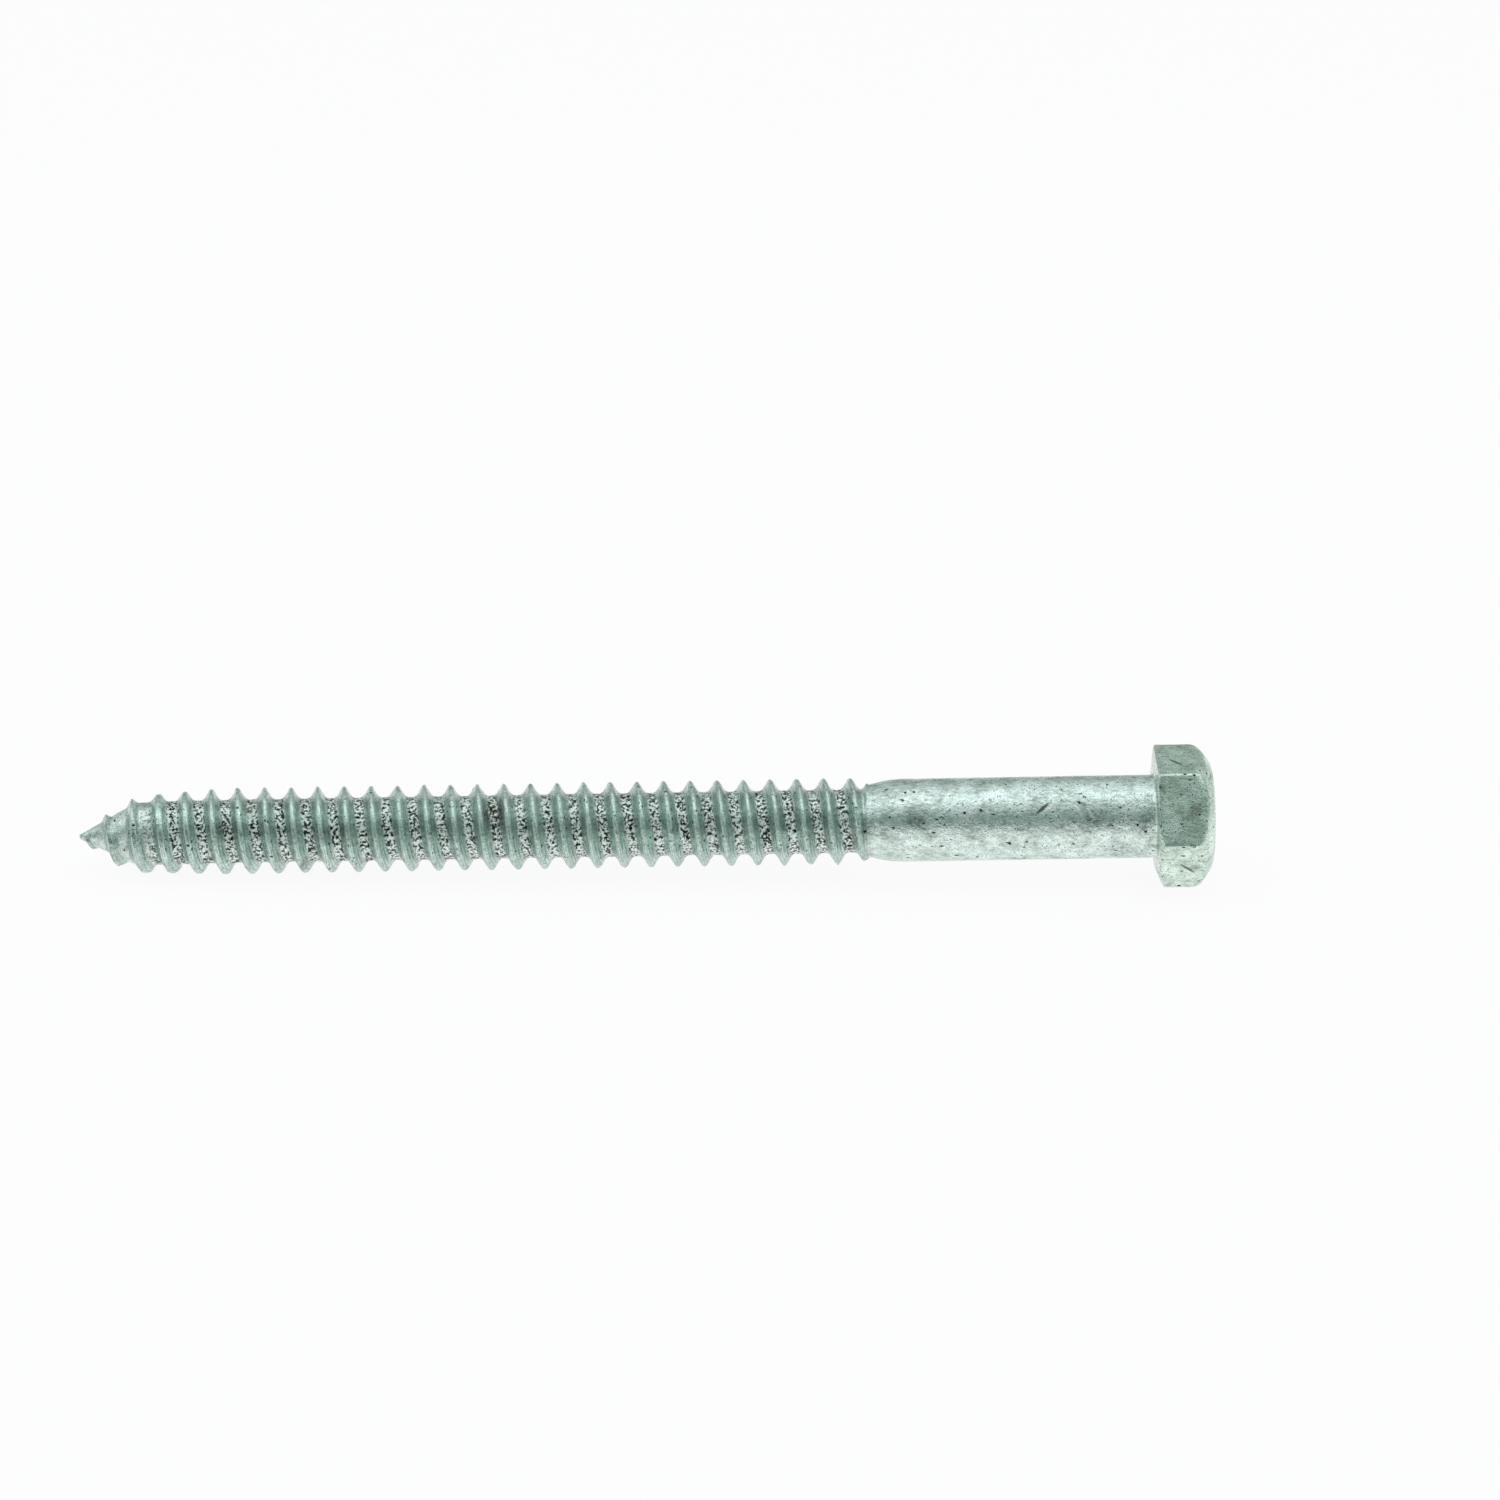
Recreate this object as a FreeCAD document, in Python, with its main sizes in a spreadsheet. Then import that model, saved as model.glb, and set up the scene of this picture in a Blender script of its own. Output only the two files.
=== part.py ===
# Lag screw with a hexagon head, hot-dip galvanised, made in one piece: headed, then thread-rolled.
#
# The screw is drawn along X. The origin is the centre of the bearing face, the underside of the
# head, which looks to -X, where the shank and the point are; the head itself is on the +X side.
# The whole screw is then tilted by the small angle at which it comes to rest on a table, on one
# edge of the head and on the thread near the point.
#
# Below the head are a plain shank and a cone shoulder, and then the rolled stretch: a right-hand
# ridge with flanks of 60 degrees winds round a thinner root. The root ends in a cone point, and
# the ridge runs on down the cone, lower and with a blunter top, until it dies away at the tip.
import FreeCAD, Part
import math
import os
import Sketcher

Vector = FreeCAD.Vector

# Driving dimensions in millimetres and degrees: name, value and what it measures.
SIZES = [
    ("screw_length", 205.0, "bearing face to the tip"),
    ("thread_length", 150.2, "tip to the shoulder"),
    ("shoulder_length", 4.8, "cone between the rolled stretch and the shank"),
    ("shoulder_rounding", 9.0, "where that cone meets the shank"),
    ("shank_diameter", 15.8, "plain shank"),
    ("collar_diameter", 13.6, "small end of the shoulder"),
    ("collar_step", 1.0, "length of the steep cone from there down to the root"),
    ("crest_diameter", 16.2, "over the ridge"),
    ("root_diameter", 12.0, "between the ridges"),
    ("thread_pitch", 5.08, "five ridges to the inch"),
    ("flank_angle", 30.0, "one flank, from a plane across the axis"),
    ("crest_flat", 0.56, "width of the top of the full ridge"),
    ("thread_phase", 80.9, "about the axis from +Y, where the ridge would meet the tip"),
    ("point_angle", 27.5, "side of the cone point, from the axis"),
    ("tip_diameter", 1.0, "blunt end of the point"),
    ("lead_height", 1.25, "ridge above the cone point"),
    ("lead_flat", 1.3, "width of the ridge top where the cone point ends"),
    ("lead_length", 26.0, "tip to the first ridge of full height"),
    ("runout_length", 4.7, "along the axis, over which the ridge sinks into the shoulder"),
    ("head_width", 23.8, "across the flats"),
    ("head_height", 10.8, "bearing face to the top of the head"),
    ("head_edge_radius", 0.6, "six edges between the flats"),
    ("head_top_diameter", 19.2, "flat circle on top of the head"),
    ("head_top_slope", 34.0, "chamfer round that circle, from the top"),
    ("head_base_diameter", 24.6, "where the chamfer under the six corners begins"),
    ("head_base_slope", 25.0, "that chamfer, from the bearing face"),
    ("neck_chamfer", 0.6, "cone in the corner between the shank and the bearing face"),
]

# Points on each turn through which the edges of the ridge are drawn.
POINTS_PER_TURN = 8

doc = FreeCAD.newDocument("LagScrew")
sheet = doc.addObject("Spreadsheet::Sheet", "Sizes")
size = {}
for row, (alias, value, meaning) in enumerate(SIZES, start=1):
    sheet.set("A%d" % row, meaning)
    sheet.set("B%d" % row, str(value))
    sheet.setAlias("B%d" % row, alias)
    size[alias] = value
doc.recompute()


# Sketches and edges

def add_sketch(body, role, name):
    plane = next(feature for feature in body.Origin.OriginFeatures if feature.Role == role)
    sketch = body.newObject("Sketcher::SketchObject", name)
    sketch.AttachmentSupport = (plane, "")
    sketch.MapMode = "FlatFace"
    return sketch


def draw_outline(sketch, corners):
    """Draws a closed outline whose corners are pairs of formulas, each bound to the sheet."""
    places = []
    for formulas in corners:
        places.append(Vector(*[float(sheet.evalExpression(formula)) for formula in formulas]))
    count = len(corners)
    for i in range(count):
        sketch.addGeometry(Part.LineSegment(places[i], places[(i + 1) % count]))
    for i in range(count):
        sketch.addConstraint(Sketcher.Constraint("Coincident", i, 2, (i + 1) % count, 1))
    for i in range(count):
        across, up = corners[i]
        bind_distance(sketch, "DistanceX", i, across, places[i].x)
        bind_distance(sketch, "DistanceY", i, up, places[i].y)


def bind_distance(sketch, kind, corner, formula, distance):
    """Holds a corner at a distance from the origin, or on the axis where the formula is zero."""
    if formula == "0":
        axis = -2 if kind == "DistanceX" else -1
        sketch.addConstraint(Sketcher.Constraint("PointOnObject", corner, 1, axis))
        return
    index = sketch.addConstraint(Sketcher.Constraint(kind, -1, 1, corner, 1, distance))
    name = "%s%d" % (kind, corner)
    sketch.renameConstraint(index, name)
    sketch.setExpression("Constraints." + name, formula)


def edge_names(shape, wanted):
    return ["Edge%d" % (i + 1) for i, edge in enumerate(shape.Edges) if wanted(edge)]


def dress_edges(body, kind, name, wanted, extent):
    """Adds a Fillet or a Chamfer on the wanted edges of what the body holds so far."""
    base = body.Tip
    dress = body.newObject("PartDesign::" + kind, name)
    dress.Base = (base, edge_names(base.Shape, wanted))
    dress.setExpression("Radius" if kind == "Fillet" else "Size", extent)
    doc.recompute()


def turn_outline(body, kind, name, sketch):
    """Turns a sketch right round the X axis, to add to the body or to cut from it."""
    turned = body.newObject("PartDesign::" + kind, name)
    turned.Profile = sketch
    turned.ReferenceAxis = (sketch, ["H_Axis"])
    turned.Angle = 360
    sketch.Visibility = False
    doc.recompute()


# Head, shank and shoulder

def make_blank():
    body = doc.addObject("PartDesign::Body", "Blank")
    body.Label = "headed_blank"

    shank = add_sketch(body, "XY_Plane", "ShankOutline")
    shoulder = "(Sizes.thread_length - Sizes.screw_length)"
    core_end = shoulder + " - 2 * Sizes.collar_step"
    core = "(Sizes.root_diameter - (Sizes.collar_diameter - Sizes.root_diameter)) / 2"
    draw_outline(shank, [
        ("0", "0"),
        ("0", "Sizes.shank_diameter / 2"),
        (shoulder + " + Sizes.shoulder_length", "Sizes.shank_diameter / 2"),
        (shoulder, "Sizes.collar_diameter / 2"),
        (core_end, core),
        (core_end, "0"),
    ])
    turn_outline(body, "Revolution", "Shank", shank)

    hexagon = add_sketch(body, "YZ_Plane", "HeadOutline")
    half_width = "Sizes.head_width / 2"
    half_side = "Sizes.head_width * tan(30) / 2"
    corner = "Sizes.head_width / cos(30) / 2"
    draw_outline(hexagon, [
        (corner, "0"),
        (half_side, half_width),
        ("-" + half_side, half_width),
        ("-" + corner, "0"),
        ("-" + half_side, "-" + half_width),
        (half_side, "-" + half_width),
    ])
    head = body.newObject("PartDesign::Pad", "Head")
    head.Profile = hexagon
    head.setExpression("Length", "Sizes.head_height")
    hexagon.Visibility = False
    doc.recompute()

    dress_edges(body, "Fillet", "HeadEdges", is_head_edge, "Sizes.head_edge_radius")

    beyond = "Sizes.head_width"
    top_fall = "(Sizes.head_width - Sizes.head_top_diameter / 2) * tan(Sizes.head_top_slope)"
    top = add_sketch(body, "XY_Plane", "TopChamferOutline")
    draw_outline(top, [
        ("Sizes.head_height", "Sizes.head_top_diameter / 2"),
        ("Sizes.head_height", beyond),
        ("Sizes.head_height - " + top_fall, beyond),
    ])
    turn_outline(body, "Groove", "TopChamfer", top)

    base_rise = "(Sizes.head_width - Sizes.head_base_diameter / 2) * tan(Sizes.head_base_slope)"
    base = add_sketch(body, "XY_Plane", "BaseChamferOutline")
    draw_outline(base, [
        ("0", "Sizes.head_base_diameter / 2"),
        ("0", beyond),
        (base_rise, beyond),
    ])
    turn_outline(body, "Groove", "BaseChamfer", base)

    dress_edges(body, "Chamfer", "NeckChamfer", is_neck_edge, "Sizes.neck_chamfer")
    dress_edges(body, "Fillet", "ShoulderRounding", is_shoulder_edge, "Sizes.shoulder_rounding")
    return body


def is_head_edge(edge):
    ends = [vertex.Point for vertex in edge.Vertexes]
    return len(ends) == 2 and abs(abs(ends[0].x - ends[1].x) - size["head_height"]) < 1e-6


def is_ring(edge, place, diameter):
    curve = edge.Curve
    if not isinstance(curve, Part.Circle):
        return False
    return abs(curve.Center.x - place) < 1e-6 and abs(curve.Radius - diameter / 2) < 1e-6


def is_neck_edge(edge):
    return is_ring(edge, 0.0, size["shank_diameter"])


def is_shoulder_edge(edge):
    place = size["thread_length"] - size["screw_length"] + size["shoulder_length"]
    return is_ring(edge, place, size["shank_diameter"])


# Rolled thread. Along the screw, "way" is the distance from the tip.

def clamp(value):
    return max(0.0, min(1.0, value))


def cone_length():
    return (size["root_diameter"] - size["tip_diameter"]) / 2 / math.tan(math.radians(size["point_angle"]))


def root_radius(way):
    """Blunt tip, cone point, then the even root."""
    cone = size["tip_diameter"] / 2 + way * math.tan(math.radians(size["point_angle"]))
    return min(max(cone, size["tip_diameter"] / 2), size["root_diameter"] / 2)


def lead_share(way):
    """How far the ridge has grown from the end of the cone point, 0, to full height, 1."""
    return clamp((way - cone_length()) / (size["lead_length"] - cone_length()))


def ridge_height(way):
    """Rises in the first turn, stands low on the cone, grows to its full height and then sinks."""
    full = (size["crest_diameter"] - size["root_diameter"]) / 2
    first = clamp(way / size["thread_pitch"])
    low = size["lead_height"] * first * first * (3 - 2 * first)
    height = low + (full - size["lead_height"]) * lead_share(way)
    sunk_at = size["thread_length"] + size["collar_step"]
    sinking = clamp((way - sunk_at + size["runout_length"]) / size["runout_length"]) ** 3
    return height * (1 - 0.9 * sinking)


def ridge_half_top(way):
    """Half the width of the ridge's top, which is blunter where the point ends."""
    blunter = clamp(way / cone_length()) - lead_share(way)
    return (size["crest_flat"] + (size["lead_flat"] - size["crest_flat"]) * blunter) / 2


def ridge_section(turn):
    """Rear foot, rear edge, front edge and front foot of the ridge after so many turns."""
    way = turn * size["thread_pitch"]
    angle = math.radians(size["thread_phase"] + 360 * turn)
    half_top = ridge_half_top(way)
    height = ridge_height(way)
    flank = max(height, size["tip_diameter"] / 2) * math.tan(math.radians(size["flank_angle"]))
    foot = half_top + flank
    crest = root_radius(way) + height
    profile = [
        (way - foot, root_radius(way - foot)),
        (way - half_top, crest),
        (way + half_top, crest),
        (way + foot, root_radius(way + foot)),
    ]
    places = []
    for along, radius in profile:
        x = along - size["screw_length"]
        places.append(Vector(x, radius * math.cos(angle), radius * math.sin(angle)))
    return places


def edge_piece(curve, turn):
    piece = curve.copy()
    piece.segment(turn, turn + 1)
    return piece


def strip(rear, front):
    """Face ruled from one edge to the next over a turn. Each side is weighted by the inverse of its
    radius, which spreads the face's own lines evenly between a small circle and a large one."""
    sides = [rear, front]
    weights = []
    for side in sides:
        reach = [math.hypot(pole.y, pole.z) for pole in side.getPoles()]
        weights.append(len(reach) / sum(reach))
    face = Part.BSplineSurface()
    face.buildFromPolesMultsKnots(
        [list(pair) for pair in zip(rear.getPoles(), front.getPoles())],
        rear.getMultiplicities(), [2, 2], rear.getKnots(), [0, 1], False, False, rear.Degree, 1,
        [list(weights) for pole in rear.getPoles()])
    return face.toShape()


def end_faces(places, helix):
    """Closes one end of the skin, like a spiral stair, down to the axis."""
    on_axis = [Vector(places[i].x, 0, 0) for i in (0, -1)]
    step = Part.Face(Part.makePolygon([on_axis[0]] + places + [on_axis[1], on_axis[0]]))
    rise = Part.makeLine(on_axis[0], on_axis[1])
    return [step, Part.makeRuledSurface(helix.toShape(), rise)]


def make_thread():
    """The rolled stretch as one closed skin, from ahead of the tip to inside the shoulder."""
    pitch = size["thread_pitch"]
    start = -1.25
    buried = (size["thread_length"] + 0.2 * pitch) / pitch + 1
    turns = math.ceil(buried - start)
    stops = [start + i / POINTS_PER_TURN for i in range(turns * POINTS_PER_TURN + 1)]
    sections = [ridge_section(stop) for stop in stops]
    edges = []
    for i in range(4):
        curve = Part.BSplineCurve()
        curve.interpolate(Points=[section[i] for section in sections], Parameters=stops)
        edges.append([edge_piece(curve, start + turn) for turn in range(turns)])
    rear_foot, rear_edge, front_edge, front_foot = edges
    faces = []
    for turn in range(turns):
        faces.append(strip(rear_foot[turn], rear_edge[turn]))
        faces.append(strip(rear_edge[turn], front_edge[turn]))
        faces.append(strip(front_edge[turn], front_foot[turn]))
    for turn in range(turns - 1):
        faces.append(strip(front_foot[turn], rear_foot[turn + 1]))
    first, last = sections[0], sections[-1]
    faces += end_faces(first + [rear_foot[1].StartPoint], rear_foot[0])
    faces += end_faces([front_foot[-1].StartPoint] + last, front_foot[-1])
    skin = Part.makeShell(faces)
    skin.sewShape()
    solid = Part.makeSolid(skin)
    if solid.Volume < 0:
        solid.reverse()
    thread = doc.addObject("Part::Feature", "RolledThread")
    thread.Label = "rolled_thread"
    thread.Shape = solid
    return thread


def make_pointed(thread):
    """Cuts the skin off square at the tip."""
    stock = doc.addObject("Part::Cylinder", "TipStock")
    stock.setExpression("Radius", "Sizes.root_diameter / 2")
    stock.setExpression("Height", "3 * Sizes.thread_pitch")
    stock.Placement = FreeCAD.Placement(Vector(), FreeCAD.Rotation(Vector(0, 1, 0), -90))
    stock.setExpression("Placement.Base.x", "-Sizes.screw_length")
    pointed = doc.addObject("Part::Cut", "PointedThread")
    pointed.Base = thread
    pointed.Tool = stock
    return pointed


def make_screw():
    """Joins blank and thread into the one piece and tilts it to lie at rest."""
    blank = make_blank()
    pointed = make_pointed(make_thread())
    screw = doc.addObject("Part::Fuse", "LagScrew")
    screw.Base = blank
    screw.Tool = pointed
    screw.Refine = False
    screw.Label = "lag_screw"
    screw.Placement = FreeCAD.Placement(Vector(), FreeCAD.Rotation(Vector(0, 1, 0), -1))
    drop = "(Sizes.head_width - Sizes.crest_diameter) / 2"
    reach = "(Sizes.screw_length - Sizes.lead_length)"
    screw.setExpression("Placement.Rotation.Angle", "-atan(" + drop + " / " + reach + ")")
    doc.recompute()
    return screw


def check(part):
    for item in doc.Objects:
        if "Invalid" in item.State or "Error" in item.State:
            raise RuntimeError(item.Name + " failed: " + ", ".join(item.State))
    if part.Shape.isNull() or not part.Shape.isValid() or len(part.Shape.Solids) != 1:
        raise RuntimeError(part.Label + " isn't one valid solid")


screw = make_screw()
check(screw)
os.makedirs("parts", exist_ok=True)
screw.Shape.exportStep("parts/" + screw.Label + ".step")
print(screw.Label, "volume", round(screw.Shape.Volume), "tilt", round(screw.Placement.Rotation.Angle, 5))
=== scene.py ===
import bpy
import numpy as np
from math import atan, ceil, pi, radians, tan
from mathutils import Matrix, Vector, noise


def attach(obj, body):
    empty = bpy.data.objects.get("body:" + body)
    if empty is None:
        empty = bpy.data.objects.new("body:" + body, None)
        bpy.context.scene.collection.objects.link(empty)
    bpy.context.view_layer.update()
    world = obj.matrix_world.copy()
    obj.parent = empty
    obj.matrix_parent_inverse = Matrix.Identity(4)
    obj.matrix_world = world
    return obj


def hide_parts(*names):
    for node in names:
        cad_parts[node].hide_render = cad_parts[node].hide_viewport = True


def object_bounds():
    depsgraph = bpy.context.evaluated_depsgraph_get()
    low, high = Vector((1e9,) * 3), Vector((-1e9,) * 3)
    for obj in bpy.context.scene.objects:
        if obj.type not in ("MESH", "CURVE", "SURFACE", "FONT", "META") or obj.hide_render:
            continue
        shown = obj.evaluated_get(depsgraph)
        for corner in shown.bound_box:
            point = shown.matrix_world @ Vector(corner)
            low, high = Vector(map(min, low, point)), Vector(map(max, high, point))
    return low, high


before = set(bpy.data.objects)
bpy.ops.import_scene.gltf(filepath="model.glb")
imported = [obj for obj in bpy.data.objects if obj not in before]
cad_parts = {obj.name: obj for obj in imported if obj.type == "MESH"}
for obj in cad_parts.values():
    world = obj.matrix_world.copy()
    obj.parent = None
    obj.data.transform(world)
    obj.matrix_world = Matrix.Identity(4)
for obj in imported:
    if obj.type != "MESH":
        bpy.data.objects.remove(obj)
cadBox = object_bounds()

# Galvanised lag screw lying on a white table. Blender works in metres; the
# dictionaries below hold millimetres and degrees unless a note says otherwise.
mm = 0.001


# form of the screw

screw = {
    "length": 205.0,            # bearing face to tip
    "pitch": 5.08,              # five ridges to the inch
    "threadPhase": 80.9,        # about the axis from +Y, where the ridge meets the tip
    "rootRadius": 6.0,
    "ridgeHeight": 2.2,         # full ridge above the root
    "crestFlat": 0.56,
    "flank": 30.0,
    "crestSoftness": 0.5,       # rounding by the zinc
    "footSoftness": 1.0,
    "softHeight": 1.2,          # a lower ridge is rounded less
    "leastHeight": 0.4,         # a lower ridge counts as this high for its colours
    "leastFoot": 0.5,           # and as this high for the width of its foot
    "ridgeRows": [0.13, 0.26, 0.4, 0.58, 0.8, 1.04, 1.26, 1.46, 1.7, 1.98, 2.26],  # from the crest
    "tipRadius": 0.5,
    "tipDome": 0.25,
    "pointAngle": 27.5,
    "coneSoftness": 0.8,        # where the cone meets the root
    "leadHeight": 1.25,         # ridge above the cone point
    "leadLean": 0.3,            # more of it on the lower side
    "leadLeanEnd": 24.0,        # from the tip
    "leadFlat": 1.3,
    "leadLength": 26.0,         # tip to the first full ridge
    "thinShare": 0.75,          # the first turns came out thin on the upper side
    "thinEnd": 14.0,            # from the tip
    "thinFade": 4.0,
    "pointDroop": 0.65,         # the point was rolled a little off the axis
    "droopLength": 28.0,
    "restRadius": 8.1,          # of the ridge it lies on
    "threadEnd": 150.2,         # tip to the shoulder
    "lipHeight": 0.42,          # thin lip rolled up where the thread ends
    "lipWidth": 0.3,
    "runout": 4.7,
    "runoutPast": 1.0,          # the ridge is down this far past the thread's end
    "runoutShare": 0.9,         # of the ridge that goes
    "helixEnd": 153.5,          # rows follow the helix up to here, rings from here on
    "collarRise": 0.8,          # steep little cone at the end of the root, per mm
    "collarRadius": 6.8,
    "collarSoftness": 0.15,
    "rootSoftness": 0.2,        # where the root meets the collar
    "shoulderLength": 4.8,
    "shoulderSoftness": 0.45,
    "shankRadius": 7.9,
    "shankRings": 40,
    "neckFillet": 0.9,
    "bandEdge": 0.4,            # the rough band of the root fades over this width
    "bandStart": 9.5,           # from the tip
    "bandGrowth": 8.0,
    "bandEnd": 0.5,             # before the thread's end
    "bandFade": 1.5,
}

head = {
    "width": 23.8,              # across the flats
    "height": 10.8,
    "edgeRadius": 0.7,          # between the flats
    "topRadius": 9.6,
    "topSlope": 34.0,
    "topRounding": 1.2,
    "rimRounding": 0.6,         # where the top's slope meets the flats
    "rimRise": 0.5,             # more of it towards the corners
    "baseRadius": 11.6,         # chamfer under the head, trimmed off centre
    "baseOffset": 1.6,
    "baseSlope": 23.0,
    "baseLeast": 0.25,          # narrowest chamfer
    "baseRounding": 0.12,
    "cornerColumns": [0, 0.65, 1.3, 2.8, 6.5, 12, 18, 24, 30],  # degrees, corner to mid flat
    "ringSteps": [1, 3, 5, 9, 5, 8],    # rows on each straight run, neck to the middle of the top
    "wornWidth": 0.3,           # how far from an edge the coat is worn
    "wornRadius": 10.6,         # wear starts outside this radius
    "wornRadiusFade": 0.6,
    "wornTop": 0.4,             # and ends this far above the flats
    "wornTopFade": 0.5,
}


def smoothStep(t):
    t = np.clip(t, 0.0, 1.0)
    return t * t * (3 - 2 * t)


def smoothMin(a, b, softness):
    h = np.maximum(softness - np.abs(a - b), 0.0) / np.maximum(softness, 1e-9)
    return np.minimum(a, b) - h * h * softness / 4


def smoothMax(a, b, softness):
    return -smoothMin(-a, -b, softness)


def coneLength():
    return (screw["rootRadius"] - screw["tipRadius"]) / tan(radians(screw["pointAngle"]))


def coneAt(way):                # way is the distance from the tip
    return screw["tipRadius"] + way * tan(radians(screw["pointAngle"]))


def rootAt(way):
    return np.clip(coneAt(way), screw["tipRadius"], screw["rootRadius"])


def coreAt(way):                # point, root, collar, shoulder and shank, without the ridge
    root = smoothMin(coneAt(way), screw["rootRadius"], screw["coneSoftness"])
    root = np.maximum(root, screw["tipRadius"])
    past = way - screw["threadEnd"]
    rise = (screw["shankRadius"] - screw["collarRadius"]) / screw["shoulderLength"]
    shoulder = smoothMin(screw["collarRadius"] + past * rise, screw["shankRadius"],
                         screw["shoulderSoftness"])
    collar = smoothMin(screw["collarRadius"] + past * screw["collarRise"], shoulder,
                       screw["collarSoftness"])
    lip = screw["lipHeight"] * np.exp(-(past / screw["lipWidth"]) ** 2)
    return smoothMax(root, collar, screw["rootSoftness"]) + lip


def leadShare(way):             # 0 where the cone ends, 1 at the first full ridge
    return np.clip((way - coneLength()) / (screw["leadLength"] - coneLength()), 0, 1)


def ridgeHeightAt(way, angle):
    firstTurn = smoothStep(way / screw["pitch"])
    low = screw["leadHeight"] * firstTurn
    early = np.clip(1 - way / screw["leadLeanEnd"], 0, 1)
    low = low - screw["leadLean"] * np.sin(angle) * firstTurn * early
    height = low + (screw["ridgeHeight"] - screw["leadHeight"]) * leadShare(way)
    sunk = screw["threadEnd"] + screw["runoutPast"]
    sinking = np.clip((way - sunk + screw["runout"]) / screw["runout"], 0, 1) ** 3
    return height * (1 - screw["runoutShare"] * sinking)


def ridgeHalfTopAt(way, angle):
    blunter = np.clip(way / coneLength(), 0, 1) - leadShare(way)
    halfTop = (screw["crestFlat"] + (screw["leadFlat"] - screw["crestFlat"]) * blunter) / 2
    early = np.clip((screw["thinEnd"] - way) / screw["thinFade"], 0, 1)
    return halfTop * (1 - screw["thinShare"] * np.clip(np.sin(angle), 0, 1) * early)


def threadSurface(way, angle):
    # gives the radius, the share of the ridge's height, how far the point lies in the
    # rough band of the root, and its distance from the crest line
    turn = (angle - radians(screw["threadPhase"])) / (2 * pi)
    crest = (np.round(way / screw["pitch"] - turn) + turn) * screw["pitch"]
    off = np.abs(way - crest)
    height = ridgeHeightAt(crest, angle)
    halfTop = ridgeHalfTopAt(crest, angle)
    foot = halfTop + np.maximum(height, screw["leastFoot"]) * tan(radians(screw["flank"]))
    top = rootAt(crest) + height
    fall = (top - rootAt(crest + np.sign(way - crest) * foot)) / (foot - halfTop)
    soft = np.clip(height / screw["softHeight"], 0, 1)
    ridge = smoothMin(top - (off - halfTop) * fall, top, screw["crestSoftness"] * soft)
    core = coreAt(way)
    radius = smoothMax(core, ridge, screw["footSoftness"] * soft)
    lift = np.clip((radius - core) / np.maximum(height, screw["leastHeight"]), 0, 1)
    band = smoothStep((off - foot + screw["bandEdge"] / 2) / screw["bandEdge"])
    band = band * smoothStep((way - screw["bandStart"]) / screw["bandGrowth"])
    band = band * smoothStep((screw["threadEnd"] - screw["bandEnd"] - way) / screw["bandFade"])
    return radius, lift, band, off


def fromCorner(angle):          # degrees to the nearest corner of the hexagon
    return np.abs((np.degrees(angle) + 30.0) % 60.0 - 30.0)


def hexRadius(angle):           # outline of the head, edges rounded
    half = head["width"] / 2
    edgeRadius = head["edgeRadius"]
    away = np.radians(fromCorner(angle))
    centre = (half - edgeRadius) / np.cos(radians(30))
    under = np.maximum(edgeRadius ** 2 - (centre * np.sin(away)) ** 2, 0.0)
    rounded = centre * np.cos(away) + np.sqrt(under)
    flat = half / np.cos(radians(30) - away)
    tangent = np.arctan2(edgeRadius * 0.5, centre + edgeRadius * np.cos(radians(30)))
    return np.where(away < tangent, rounded, flat)


def softPath(corners, reaches, steps):
    # a run of (x, radius) corners for every column, each corner rounded by a short curve
    rows = [corners[0]]
    last = corners[0]
    for i in range(1, len(corners) - 1):
        inward = corners[i] - corners[i - 1]
        outward = corners[i + 1] - corners[i]
        inward = inward / np.linalg.norm(inward, axis=1, keepdims=True)
        outward = outward / np.linalg.norm(outward, axis=1, keepdims=True)
        start = corners[i] - inward * reaches[i]
        end = corners[i] + outward * reaches[i]
        for k in range(1, steps[i - 1] + 1):
            rows.append(last + (start - last) * k / steps[i - 1])
        for t in (0.25, 0.5, 0.75, 1.0):
            rows.append(start * (1 - t) ** 2 + corners[i] * 2 * t * (1 - t) + end * t * t)
        last = end
    for k in range(1, steps[-1] + 1):
        rows.append(last + (corners[-1] - last) * k / steps[-1])
    return rows


def headRings(angle):           # rings of (x, radius), and how worn each vertex is, 0 to 1
    ones = np.ones_like(angle)
    flat = hexRadius(angle)
    baseRadius = head["baseRadius"] + head["baseOffset"] * np.sin(angle)
    baseRise = np.maximum(flat - baseRadius, 0.0) * tan(radians(head["baseSlope"]))
    topFall = (flat - head["topRadius"]) * tan(radians(head["topSlope"]))
    overFlat = (flat - head["width"] / 2)[:, None]
    corners = [
        (-screw["neckFillet"] * ones, screw["shankRadius"] * ones),
        (0 * ones, screw["shankRadius"] * ones),
        (0 * ones, np.minimum(baseRadius, flat - head["baseLeast"])),
        (baseRise, flat),
        (head["height"] - topFall, flat),
        (head["height"] * ones, head["topRadius"] * ones),
        (head["height"] * ones, 0 * ones),
    ]
    corners = [np.stack(corner, axis=1) for corner in corners]
    reaches = [0, screw["neckFillet"], head["baseRounding"], head["baseRounding"],
               head["rimRounding"] + head["rimRise"] * overFlat, head["topRounding"], 0]
    alongFlat = fromCorner(angle) * flat * pi / 180
    rings = []
    for path in softPath(corners, reaches, head["ringSteps"]):
        outer = smoothStep((path[:, 1] - head["wornRadius"]) / head["wornRadiusFade"])
        below = head["height"] - topFall + head["wornTop"] - path[:, 0]
        onSide = outer * smoothStep(below / head["wornTopFade"])
        worn = np.maximum(np.exp(-(alongFlat / head["wornWidth"]) ** 2),
                          np.exp(-((path[:, 0] - baseRise) / head["wornWidth"]) ** 2))
        rings.append((path, worn * onSide))
    return rings


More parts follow.
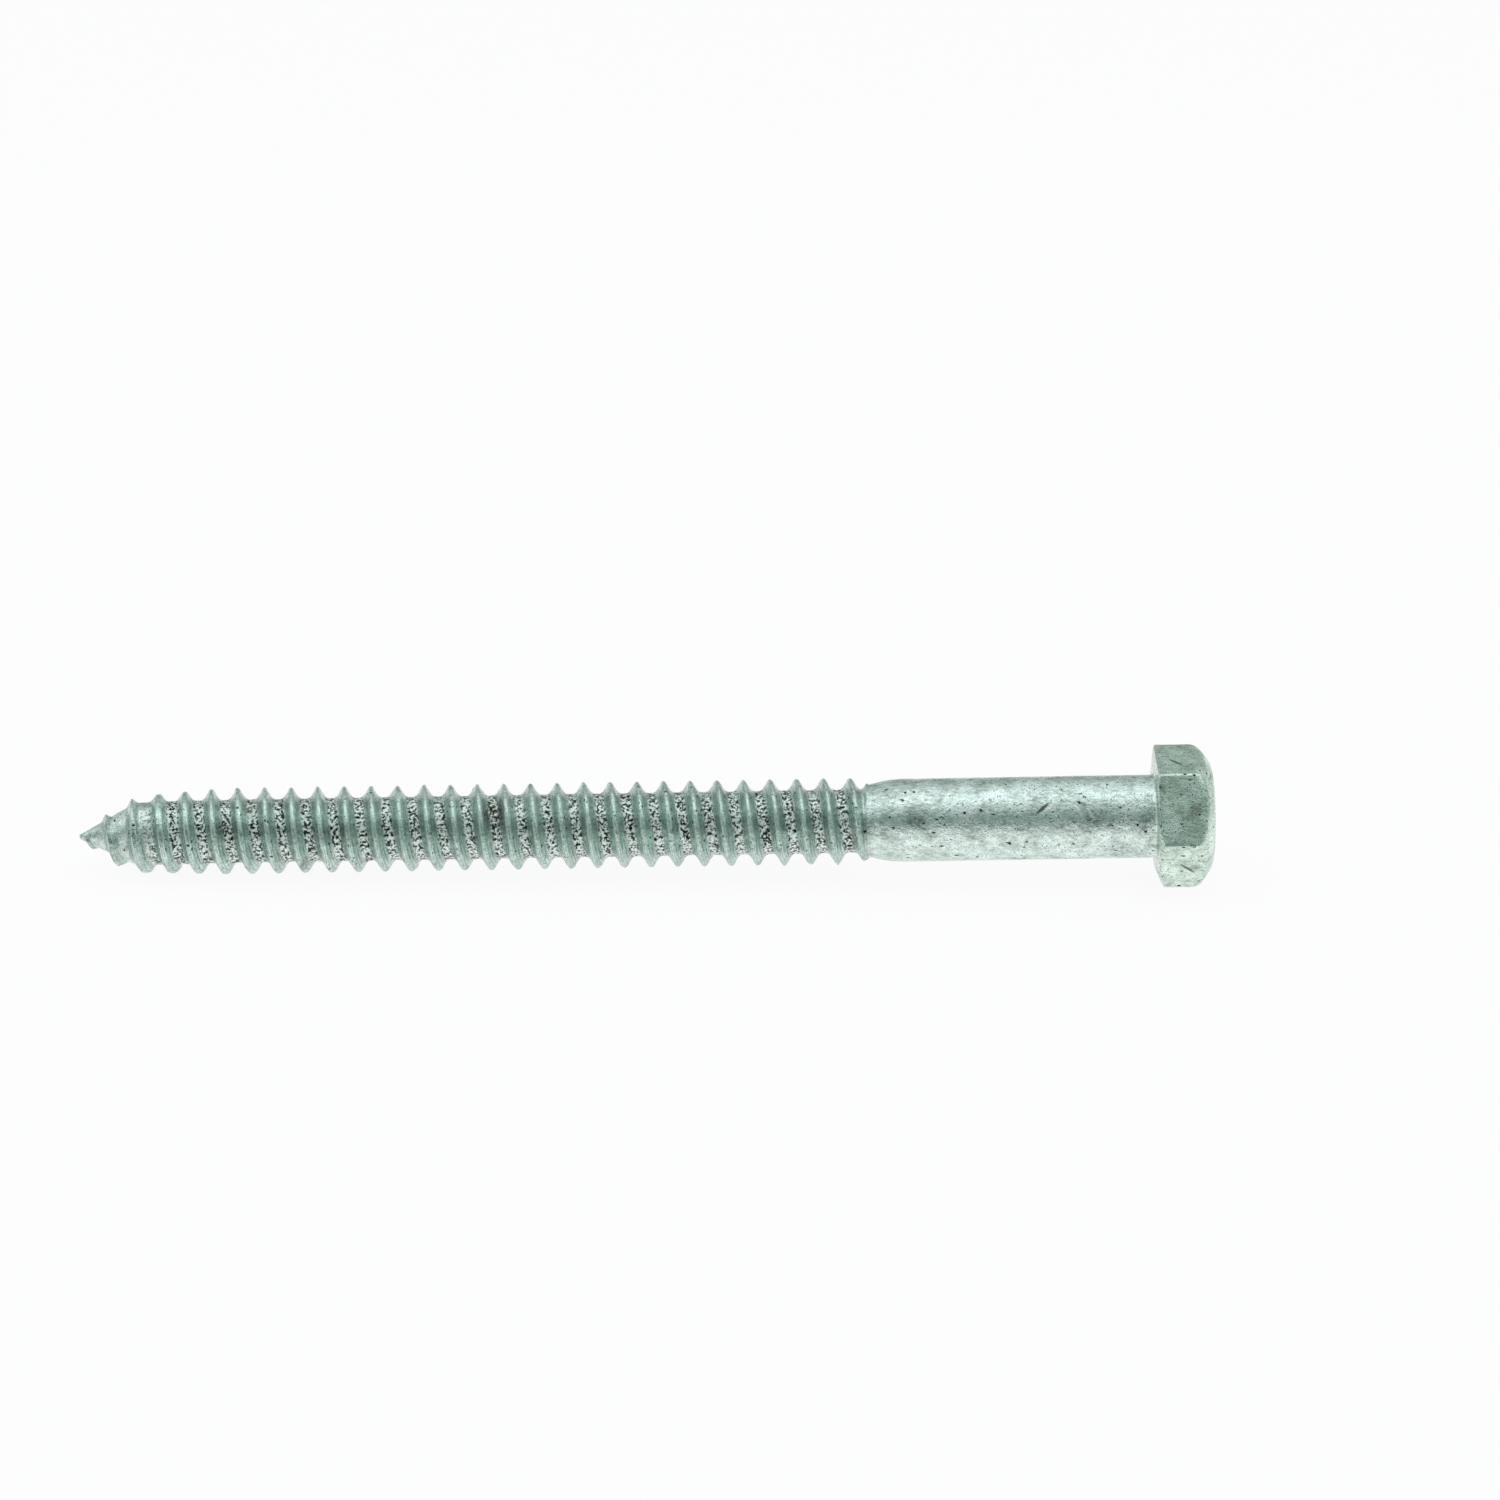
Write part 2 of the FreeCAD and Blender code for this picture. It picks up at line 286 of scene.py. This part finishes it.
def screwVertices():
    # every vertex as (x, radius, angle, lift, band, off, worn), and the quads between them;
    # the head's corners set how many columns go round
    corner = head["cornerColumns"]
    sector = np.array(corner + [60 - a for a in corner[-2:0:-1]])
    count = 6 * len(sector)     # columns of vertices round the screw
    column = np.arange(count)
    zero = np.zeros(count)
    noCrest = zero + 9          # no crest line near
    even = radians(screw["threadPhase"]) + 2 * pi * column / count
    blocks, quads, used = [], [], 0

    # thread: each row of vertices winds along the helix, so rows lie on crest and feet
    near = screw["ridgeRows"]
    offsets = np.array(sorted([-h for h in near] + [0.0] + near + [screw["pitch"] / 2]))
    perTurn = len(offsets)
    rows = perTurn * (ceil(screw["helixEnd"] / screw["pitch"]) + 3)
    row = np.arange(rows)
    start = (row // perTurn - 1) * screw["pitch"] + offsets[row % perTurn]
    way = np.clip(start[:, None] + screw["pitch"] * column / count, 0, screw["helixEnd"])
    angle = np.broadcast_to(even, way.shape)
    radius, lift, band, off = threadSurface(way, angle)
    block = np.stack([way - screw["length"], radius, angle, lift, band, off, 0 * off], axis=-1)
    blocks.append(block.reshape(-1, 7))
    r, c = np.meshgrid(np.arange(rows - 1), column, indexing="ij")
    beside = np.where(c == count - 1, (r + perTurn) * count, r * count + c + 1)
    inside = beside + count < rows * count
    here = r * count + c
    quads.append(np.stack([here, beside, beside + count, here + count], axis=-1)[inside])
    used += rows * count

    def addRings(rings):
        nonlocal used
        blocks.append(np.stack(rings).reshape(-1, 7))
        r, c = np.meshgrid(np.arange(len(rings) - 1), column, indexing="ij")
        here = used + r * count + c
        beside = used + r * count + (c + 1) % count
        ringQuads = np.stack([here, beside, beside + count, here + count], axis=-1)
        quads.append(ringQuads.reshape(-1, 4))
        used += len(rings) * count

    # dome on the tip
    radius, lift, band, off = threadSurface(zero, even)
    rings = []
    for t in (1.0, 0.75, 0.5, 0.25, 0.0):
        reach = np.sqrt(max(0.0, 1 - t * t))
        rings.append(np.stack([zero - screw["length"] - screw["tipDome"] * t, radius * reach,
                               even, lift, zero, off, zero], axis=-1))
    addRings(rings)

    # shank: its columns drift from even spacing to the head's corners
    index = column + round(screw["threadPhase"] * count / 360)
    gathered = np.radians(60.0 * (index // len(sector)) + sector[index % len(sector)])
    neck = screw["length"] - screw["neckFillet"]
    rings = []
    for t in np.linspace(0, 1, screw["shankRings"] + 1):
        way = screw["helixEnd"] + (neck - screw["helixEnd"]) * t
        angle = even + (gathered - even) * smoothStep(t)
        radius = threadSurface(zero + way, angle)[0]
        rings.append(np.stack([zero + way - screw["length"], radius, angle,
                               zero, zero, noCrest, zero], axis=-1))
    rings[-1][:, 1] = screw["shankRadius"]      # so that it meets the neck
    addRings(rings)

    rings = []
    for path, worn in headRings(gathered):
        rings.append(np.stack([path[:, 0], path[:, 1], gathered,
                               zero, zero, noCrest, worn], axis=-1))
    addRings(rings)
    return np.concatenate(blocks), np.concatenate(quads)


def mergeVertices(vertices, quads):
    # vertices in one place become one, and quads that shrink to a line go
    places = np.stack([vertices[:, 0], vertices[:, 1] * np.cos(vertices[:, 2]),
                       vertices[:, 1] * np.sin(vertices[:, 2])], axis=1)
    first, index = np.unique(np.round(places, 6), axis=0, return_index=True, return_inverse=True)[1:]
    index = index.reshape(-1)
    faces = []
    for face in index[quads].tolist():
        slim = [v for k, v in enumerate(face) if v != face[k - 1]]
        if len(slim) > 2 and len(set(slim)) == len(slim):
            faces.append(slim)
    return places[first], vertices[first], faces


# hot-dip galvanised steel: a thick zinc coat, dull and mottled, that flows smooth on the
# ridges and lies rough and specked in the roots between them

zinc = {
    "lumpSize": 3.4,            # slow swells of the coat
    "lumpHeight": 0.035,
    "dimpleSize": 1.15,
    "dimpleHeight": 0.03,
    "dropHeight": 0.5,          # drops left on the ridge
    "dropFrom": 0.42,           # noise value where a drop starts
    "roughSize": 0.62,          # in the roots
    "roughHeight": 0.06,
    "coat": "#d9e9e2",
    "headCoat": "#d7eadc",      # a little greener on the head
    "flank": "#bfd4cc",
    "crest": "#d3e3dc",
    "rootPale": "#f3fcf8",
    "rootDull": "#8fab9e",
    "speck": "#14221b",
    # painted shade for the crease where the ridge meets the root
    "footCreaseShade": "#4f6259",
    "patchSize": 4.2,           # mottling of the coat
    "patchWeight": 2.4,         # how much it changes the shade
    "fleckSize": 0.9,           # small lighter and darker flecks
    "fleckWeight": 1.4,
    "fleckLean": 32.0,
    "grainSize": 0.52,          # dross grains, coarser than real so that they show
    "grainWeight": 1.2,
    "shadeBase": -1.5,          # brings the three weights back to 1 on average
    "streakSize": 0.2,          # drawn lines along the ridge
    "streakDepth": 0.3,
    "flankMottle": 0.6,         # share of the coat's mottling that shows on the flanks
    "rubbing": 0.75,            # of crests and edges
    "pitSize": 1.0,
    "pitShare": (0.88, 0.35),   # cells without a pit, on the coat and on worn edges
    "tinyPits": 0.9,            # how dark
    "metallic": 0.95,
    "roughness": (0.3, 0.17),   # dark flecks, bright flecks
    "rootRoughness": 0.42,
    "bumpDepth": 0.36,
    "bumpStrength": (0.6, 1.0),     # on the coat, in the roots
    "scratchWidth": 0.34,
    "scratchTaper": 0.7,        # narrowing towards the ends
    "scratchStrength": 0.8,
    "scratches": [              # centre, direction, length, colour
        ((-21.8, -6.2, 4.5), (0.75, 0.42, 0.52), 2.9, "#2f3d36"),
        ((-21.1, -6.4, 4.2), (0.75, 0.42, 0.52), 3.0, "#f8fcfb"),
        ((-14.8, -6.7, 3.9), (0.5, -0.45, -0.75), 3.4, "#f8fcfb"),
        ((-12.6, -6.9, 3.5), (0.5, -0.45, -0.75), 2.2, "#f8fcfb"),
        ((-10.1, -7.8, -1.3), (0.8, -0.09, 0.6), 3.0, "#f8fcfb"),
        ((-34.0, -5.2, 5.2), (0.6, 0.6, 0.52), 2.6, "#f8fcfb"),
        ((3.4, -1.5, 11.95), (0.6, -0.8, 0.0), 3.2, "#2f3d36"),
        ((5.6, -10.15, -6.1), (0.7, 0.36, -0.62), 3.4, "#2f3d36"),
    ],
    "stains": [                 # centre, radius, colour, how strong
        ((-125.4, -3.6, 2.2), 3.2, "#35321a", 0.92),
        ((-172.4, -2.0, 2.3), 2.6, "#4e4a2a", 0.6),
        ((-177.3, -5.0, -0.4), 2.8, "#3f4028", 0.6),
        ((-154.8, -6.5, -0.3), 2.2, "#4e4a2a", 0.5),
        ((-161.5, -6.5, -8.0), 2.4, "#55491f", 0.6),
        ((-198.6, -3.6, -6.4), 2.4, "#4a5034", 0.6),
        ((-200.0, -2.6, -0.9), 1.5, "#2f3a2c", 0.7),
        ((-118.0, -6.2, -2.7), 1.8, "#3c3a40", 0.6),
        ((6.4, -10.3, 5.9), 1.9, "#6a5f45", 0.45),
        ((7.0, -10.6, -6.2), 1.3, "#39423a", 0.7),
    ],
}


def zincLumps(places, marks):
    # how far the coat stands proud of the steel, in mm; the shifts keep the patterns apart
    lumps = np.zeros(len(places))
    for i, place in enumerate(places):
        p = Vector(place)
        lift, band = marks[i, 3], marks[i, 4]
        slow = noise.fractal(p / zinc["lumpSize"], 0.9, 2.0, 3)
        small = noise.noise(p / zinc["dimpleSize"] + Vector((31, 7, 19)))
        lumps[i] = zinc["lumpHeight"] * slow + zinc["dimpleHeight"] * small
        lumps[i] += zinc["dropHeight"] * lift * max(0.0, small - zinc["dropFrom"])
        if band > 0.01:
            rough = noise.noise(p / zinc["roughSize"] + Vector((3, 41, 5)))
            lumps[i] += band * (zinc["roughHeight"] * rough + zinc["dimpleHeight"] * small)
    return lumps


def makeScrew():
    vertices, quads = screwVertices()
    places, marks, faces = mergeVertices(vertices, quads)
    mesh = bpy.data.meshes.new("lag_screw_zinc")
    mesh.from_pydata(places.tolist(), [], faces)
    mesh.update()
    normals = np.zeros(len(places) * 3)
    mesh.vertices.foreach_get("normal", normals)
    places = places + normals.reshape(-1, 3) * zincLumps(places, marks)[:, None]

    # lies on the head and the first full ridge, so the point end dips
    tilt = atan((head["width"] / 2 - screw["restRadius"]) / (screw["length"] - screw["leadLength"]))
    x = places[:, 0] * np.cos(tilt) - places[:, 2] * np.sin(tilt)
    z = places[:, 0] * np.sin(tilt) + places[:, 2] * np.cos(tilt)
    nearTip = np.clip(1 - (places[:, 0] + screw["length"]) / screw["droopLength"], 0, 1)
    z = z - screw["pointDroop"] * nearTip ** 2
    places = np.stack([x, places[:, 1], z], axis=1) * mm
    mesh.vertices.foreach_set("co", places.reshape(-1))
    for name, k in (("lift", 3), ("rootBand", 4), ("crestOff", 5), ("worn", 6)):
        layer = mesh.attributes.new(name, "FLOAT", "POINT")
        layer.data.foreach_set("value", marks[:, k].astype(np.float32))
    mesh.update()
    mesh.shade_smooth()
    piece = bpy.data.objects.new("lag_screw_coated", mesh)
    bpy.context.scene.collection.objects.link(piece)
    print("screw:", len(mesh.vertices), "vertices,", sum(len(f) - 2 for f in faces), "triangles")
    return piece


def linear(code):               # sRGB hex to the linear colour Blender takes
    parts = [int(code[i:i + 2], 16) / 255 for i in (1, 3, 5)]
    return tuple([p / 12.92 if p <= 0.04045 else ((p + 0.055) / 1.055) ** 2.4 for p in parts] + [1.0])


def addNode(tree, kind, inputs=None, **settings):
    node = tree.nodes.new("ShaderNode" + kind)
    for name, value in settings.items():
        setattr(node, name, value)
    for name, value in (inputs or {}).items():
        socket = node.inputs[name]
        if isinstance(value, bpy.types.NodeSocket):
            tree.links.new(value, socket)
        else:
            socket.default_value = value
    return node


def fillRamp(ramp, stops):      # stops are (position, sRGB hex)
    while len(ramp.elements) > 1:
        ramp.elements.remove(ramp.elements[-1])
    ramp.elements[0].position, ramp.elements[0].color = stops[0][0], linear(stops[0][1])
    for position, code in stops[1:]:
        ramp.elements.new(position).color = linear(code)


def addScratches(tree, inMm, colour):
    for centre, direction, length, code in zinc["scratches"]:
        toward = tuple(Vector(direction).normalized())
        offset = addNode(tree, "VectorMath", {0: inMm, 1: centre}, operation="SUBTRACT").outputs[0]
        run = addNode(tree, "VectorMath", {0: offset, 1: toward},
                      operation="DOT_PRODUCT").outputs["Value"]
        onLine = addNode(tree, "VectorMath", {0: toward, "Scale": run}, operation="SCALE").outputs[0]
        aside = addNode(tree, "VectorMath", {0: offset, 1: onLine},
                        operation="DISTANCE").outputs["Value"]
        bent = addNode(tree, "Math", {0: run, 1: run}, operation="MULTIPLY").outputs[0]
        taper = -zinc["scratchTaper"] / length ** 2
        width = addNode(tree, "Math", {0: bent, 1: taper, 2: zinc["scratchWidth"]},
                        operation="MULTIPLY_ADD").outputs[0]
        inside = addNode(tree, "Math", {0: width, 1: aside}, operation="SUBTRACT").outputs[0]
        cut = addNode(tree, "MapRange", {"Value": inside, "From Min": -0.05, "From Max": 0.1,
                                         "To Max": zinc["scratchStrength"]}).outputs[0]
        colour = addNode(tree, "Mix", {"Factor": cut, "A": colour, "B": linear(code)},
                         data_type="RGBA").outputs[2]
    return colour


def addStains(tree, inMm, grains, colour):
    cloudy = addNode(tree, "MapRange", {"Value": grains, "From Min": 0.38,
                                        "From Max": 0.52}).outputs[0]
    for centre, radius, code, strength in zinc["stains"]:
        away = addNode(tree, "VectorMath", {0: inMm, 1: centre},
                       operation="DISTANCE").outputs["Value"]
        near = addNode(tree, "MapRange", {"Value": away, "From Min": radius,
                                          "From Max": radius * 0.3, "To Max": strength}).outputs[0]
        dirty = addNode(tree, "Math", {0: near, 1: cloudy}, operation="MULTIPLY").outputs[0]
        colour = addNode(tree, "Mix", {"Factor": dirty, "A": colour, "B": linear(code)},
                         data_type="RGBA").outputs[2]
    return colour


def makeZinc():
    material = bpy.data.materials.new("hotDipGalvanisedZinc")
    material.use_nodes = True
    tree = material.node_tree
    shader = tree.nodes["Principled BSDF"]
    shader.inputs["Metallic"].default_value = zinc["metallic"]

    where = addNode(tree, "TexCoord").outputs["Object"]
    inMm = addNode(tree, "VectorMath", {0: where, "Scale": 1000.0}, operation="SCALE").outputs[0]
    lift = addNode(tree, "Attribute", attribute_name="lift").outputs["Fac"]
    band = addNode(tree, "Attribute", attribute_name="rootBand").outputs["Fac"]
    crestOff = addNode(tree, "Attribute", attribute_name="crestOff").outputs["Fac"]
    worn = addNode(tree, "Attribute", attribute_name="worn").outputs["Fac"]

    # mottled coat, from patches, flecks and grains
    patches = addNode(tree, "TexNoise", {"Vector": inMm, "Scale": 1 / zinc["patchSize"],
                                         "Detail": 6.0, "Roughness": 0.68}).outputs["Fac"]
    leaning = addNode(tree, "Mapping", {"Vector": inMm, "Scale": (0.7, 1.1, 1.3),
                                        "Rotation": (0.0, radians(zinc["fleckLean"]), 0.0)}).outputs[0]
    flecks = addNode(tree, "TexNoise", {"Vector": leaning, "Scale": 1 / zinc["fleckSize"],
                                        "Detail": 4.0, "Roughness": 0.7}).outputs["Fac"]
    grains = addNode(tree, "TexNoise", {"Vector": inMm, "Scale": 1 / zinc["grainSize"],
                                        "Detail": 4.0, "Roughness": 0.72}).outputs["Fac"]
    shade = zinc["shadeBase"]
    for pattern, weight in ((patches, "patchWeight"), (flecks, "fleckWeight"), (grains, "grainWeight")):
        shade = addNode(tree, "Math", {0: pattern, 1: zinc[weight], 2: shade},
                        operation="MULTIPLY_ADD").outputs[0]
    alongX = addNode(tree, "SeparateXYZ", {"Vector": inMm}).outputs["X"]
    onHead = addNode(tree, "MapRange", {"Value": alongX, "From Min": -0.6, "From Max": 0.2}).outputs[0]
    coatTint = addNode(tree, "Mix", {"Factor": onHead, "A": linear(zinc["coat"]),
                                     "B": linear(zinc["headCoat"])}, data_type="RGBA").outputs[2]
    coat = addNode(tree, "VectorMath", {0: coatTint, "Scale": shade}, operation="SCALE").outputs[0]

    # fine lines along the ridge's flanks
    lean = addNode(tree, "VectorMath", {0: inMm, 1: (0.0, 0.2, 0.2)}, operation="MULTIPLY").outputs[0]
    across = addNode(tree, "CombineXYZ", {"X": crestOff}).outputs[0]
    lines = addNode(tree, "VectorMath", {0: across, "Scale": 1 / zinc["streakSize"]},
                    operation="SCALE").outputs[0]
    winding = addNode(tree, "VectorMath", {0: lines, 1: lean}, operation="ADD").outputs[0]
    streaks = addNode(tree, "TexNoise", {"Vector": winding, "Scale": 1.0, "Detail": 3.0,
                                         "Roughness": 0.6}).outputs["Fac"]
    streakTone = addNode(tree, "MapRange", {"Value": streaks, "From Min": 0.35, "From Max": 0.65,
                                            "To Min": 1 - zinc["streakDepth"],
                                            "To Max": 1 + zinc["streakDepth"]}).outputs[0]
    soft = addNode(tree, "Mix", {"Factor": zinc["flankMottle"], "A": 1.0, "B": shade}).outputs[0]
    flankTone = addNode(tree, "Math", {0: streakTone, 1: soft}, operation="MULTIPLY").outputs[0]
    flank = addNode(tree, "VectorMath", {0: linear(zinc["flank"])[:3], "Scale": flankTone},
                    operation="SCALE").outputs[0]
    onFlank = addNode(tree, "MapRange", {"Value": lift, "From Min": 0.06, "From Max": 0.3}).outputs[0]
    tone = addNode(tree, "Mix", {"Factor": onFlank, "A": coat, "B": flank},
                   data_type="RGBA").outputs[2]

    # crests and edges, where the zinc is rubbed bright in places
    onCrest = addNode(tree, "MapRange", {"Value": crestOff, "From Min": 0.26,
                                         "From Max": 0.06}).outputs[0]
    onTop = addNode(tree, "MapRange", {"Value": lift, "From Min": 0.5, "From Max": 0.8}).outputs[0]
    onCrest = addNode(tree, "Math", {0: onCrest, 1: onTop}, operation="MULTIPLY").outputs[0]
    onEdge = addNode(tree, "Math", {0: onCrest, 1: worn}, operation="MAXIMUM").outputs[0]
    patchy = addNode(tree, "MapRange", {"Value": flecks, "From Min": 0.42, "From Max": 0.57,
                                        "To Max": zinc["rubbing"]}).outputs[0]
    rubbing = addNode(tree, "Math", {0: onEdge, 1: patchy}, operation="MULTIPLY").outputs[0]
    tone = addNode(tree, "Mix", {"Factor": rubbing, "A": tone, "B": linear(zinc["crest"])},
                   data_type="RGBA").outputs[2]

    # a patchy dark line of painted shade in the crease where the ridge meets the root
    footShadeRamp = addNode(tree, "ValToRGB", {"Fac": lift})
    fillRamp(footShadeRamp.color_ramp, [(0.0, "#000000"), (0.07, "#cccccc"), (0.13, "#cccccc"),
                                   (0.24, "#000000")])
    footShadeShare = addNode(tree, "Math", {0: footShadeRamp.outputs["Color"], 1: patchy},
                        operation="MULTIPLY").outputs[0]
    tone = addNode(tree, "Mix", {"Factor": footShadeShare, "A": tone, "B": linear(zinc["footCreaseShade"])},
                   data_type="RGBA").outputs[2]

    # roots: bright rough zinc between dark dross grains
    rootCoat = addNode(tree, "ValToRGB", {"Fac": grains})
    fillRamp(rootCoat.color_ramp, [(0.495, zinc["rootPale"]), (0.513, zinc["rootDull"]),
                                   (0.528, zinc["speck"])])
    rooted = addNode(tree, "Mix", {"Factor": band, "A": tone, "B": rootCoat.outputs["Color"]},
                     data_type="RGBA").outputs[2]

    # pits and nicks, few on the shank, more along the head's edges
    cells = addNode(tree, "TexVoronoi", {"Vector": leaning, "Scale": 1 / zinc["pitSize"]})
    pick = addNode(tree, "SeparateColor", {"Color": cells.outputs["Color"]}).outputs[0]
    few = addNode(tree, "MapRange", {"Value": worn, "To Min": zinc["pitShare"][0],
                                     "To Max": zinc["pitShare"][1]}).outputs[0]
    chosen = addNode(tree, "Math", {0: pick, 1: few}, operation="GREATER_THAN").outputs[0]
    ragged = addNode(tree, "Math", {0: grains, 1: 1.4, 2: cells.outputs["Distance"]},
                     operation="MULTIPLY_ADD").outputs[0]
    pit = addNode(tree, "MapRange", {"Value": ragged, "From Min": 0.98, "From Max": 0.9}).outputs[0]
    pitted = addNode(tree, "Math", {0: pit, 1: chosen}, operation="MULTIPLY").outputs[0]
    tiny = addNode(tree, "MapRange", {"Value": grains, "From Min": 0.578, "From Max": 0.605,
                                      "To Max": zinc["tinyPits"]}).outputs[0]
    crowd = addNode(tree, "MapRange", {"Value": patches, "From Min": 0.42, "From Max": 0.56}).outputs[0]
    tiny = addNode(tree, "Math", {0: tiny, 1: crowd}, operation="MULTIPLY").outputs[0]
    pitted = addNode(tree, "Math", {0: pitted, 1: tiny}, operation="MAXIMUM").outputs[0]
    colour = addNode(tree, "Mix", {"Factor": pitted, "A": rooted, "B": linear(zinc["speck"])},
                     data_type="RGBA").outputs[2]

    colour = addScratches(tree, inMm, colour)
    colour = addStains(tree, inMm, grains, colour)
    tree.links.new(colour, shader.inputs["Base Color"])

    rough = addNode(tree, "MapRange", {"Value": flecks, "From Min": 0.35, "From Max": 0.65,
                                       "To Min": zinc["roughness"][0],
                                       "To Max": zinc["roughness"][1]}).outputs[0]
    roughness = addNode(tree, "Mix", {"Factor": band, "A": rough, "B": zinc["rootRoughness"]}).outputs[0]
    tree.links.new(roughness, shader.inputs["Roughness"])

    fine = addNode(tree, "Mix", {"Factor": 0.5, "A": flecks, "B": grains}).outputs[0]
    strength = addNode(tree, "MapRange", {"Value": band, "To Min": zinc["bumpStrength"][0],
                                          "To Max": zinc["bumpStrength"][1]}).outputs[0]
    bump = addNode(tree, "Bump", {"Height": fine, "Strength": strength,
                                  "Distance": zinc["bumpDepth"] * mm}).outputs[0]
    tree.links.new(bump, shader.inputs["Normal"])
    return material


lagScrew = makeScrew()
lagScrew.data.materials.append(makeZinc())
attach(lagScrew, "root")
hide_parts("lag_screw")
print("zinc coat done")


# white table, soft light from above, dim greenish room round it

studio = {
    "floorSize": 8.0,           # metres
    "floorColour": "#ffffff",
    "paleShare": 0.92,          # share of the table's look that is plain white, so shadows stay faint
    "boxSize": (2.8, 0.62),     # metres
    "boxPlace": (-0.1, 0.0, 1.0),   # metres
    "boxColour": "#f5f8ff",
    "boxPower": 3.9,            # watts
    "roomLean": (0.45, 0.24, 1.0),  # it brightens upwards, to both sides and a little to the back
    "room": [(0.0, "#3f5553"), (0.34, "#748782"), (0.62, "#abb7b4"), (0.95, "#d3d9d8")],
}


def makeTable(floorZ):
    mesh = bpy.data.meshes.new("table")
    half = studio["floorSize"] / 2
    corners = [(-half, -half, floorZ), (half, -half, floorZ), (half, half, floorZ), (-half, half, floorZ)]
    mesh.from_pydata(corners, [], [(0, 1, 2, 3)])
    floor = bpy.data.objects.new("whiteTable", mesh)
    bpy.context.scene.collection.objects.link(floor)
    paint = bpy.data.materials.new("mattWhiteTable")
    paint.use_nodes = True
    tree = paint.node_tree
    tree.nodes.clear()
    matt = addNode(tree, "BsdfDiffuse", {"Color": linear(studio["floorColour"])}).outputs[0]
    white = addNode(tree, "Emission", {"Strength": 1.0}).outputs[0]
    path = addNode(tree, "LightPath")
    seen = addNode(tree, "Math", {0: path.outputs["Is Camera Ray"], 1: path.outputs["Is Glossy Ray"]},
                   operation="MAXIMUM").outputs[0]
    seen = addNode(tree, "Math", {0: seen, 1: path.outputs["Is Transmission Ray"]},
                   operation="MAXIMUM").outputs[0]
    share = addNode(tree, "Math", {0: seen, 1: studio["paleShare"]}, operation="MULTIPLY").outputs[0]
    both = addNode(tree, "MixShader", {0: share, 1: matt, 2: white}).outputs[0]
    addNode(tree, "OutputMaterial", {"Surface": both})
    mesh.materials.append(paint)


def makeSoftBox():
    box = bpy.data.lights.new("softBox", "AREA")
    box.shape = "RECTANGLE"
    box.size, box.size_y = studio["boxSize"]
    box.energy = studio["boxPower"]
    box.color = linear(studio["boxColour"])[:3]
    lamp = bpy.data.objects.new("softBox", box)
    lamp.location = studio["boxPlace"]
    bpy.context.scene.collection.objects.link(lamp)


def makeRoom():
    room = bpy.data.worlds.new("room")
    room.use_nodes = True
    tree = room.node_tree
    toward = addNode(tree, "TexCoord").outputs["Generated"]
    axes = addNode(tree, "SeparateXYZ", {"Vector": toward})
    side = addNode(tree, "Math", {0: axes.outputs["X"]}, operation="ABSOLUTE").outputs[0]
    folded = addNode(tree, "CombineXYZ", {"X": side, "Y": axes.outputs["Y"],
                                          "Z": axes.outputs["Z"]}).outputs[0]
    height = addNode(tree, "VectorMath", {0: folded, 1: studio["roomLean"]},
                     operation="DOT_PRODUCT").outputs["Value"]
    walls = addNode(tree, "ValToRGB", {"Fac": height})
    fillRamp(walls.color_ramp, studio["room"])
    tree.links.new(walls.outputs["Color"], tree.nodes["Background"].inputs["Color"])
    bpy.context.scene.world = room


camera = {
    "place": (-72.6, -732.7, 347.36),
    "aim": (-77.4, 56.3, -12.04),
    "lens": 102.14,
    "sensor": 36.0,
    "clip": (0.01, 50.0),       # metres
}


def makeCamera():
    data = bpy.data.cameras.new("camera")
    data.sensor_width = camera["sensor"]
    data.lens = camera["lens"]
    data.clip_start, data.clip_end = camera["clip"]
    eye = bpy.data.objects.new("camera", data)
    place = Vector(camera["place"]) * mm
    eye.location = place
    eye.rotation_euler = (Vector(camera["aim"]) * mm - place).to_track_quat("-Z", "Y").to_euler()
    bpy.context.scene.collection.objects.link(eye)
    bpy.context.scene.camera = eye


makeTable(cadBox[0][2])
makeSoftBox()
makeRoom()
makeCamera()
bpy.context.scene.view_settings.view_transform = "Standard"
print("studio and camera done")
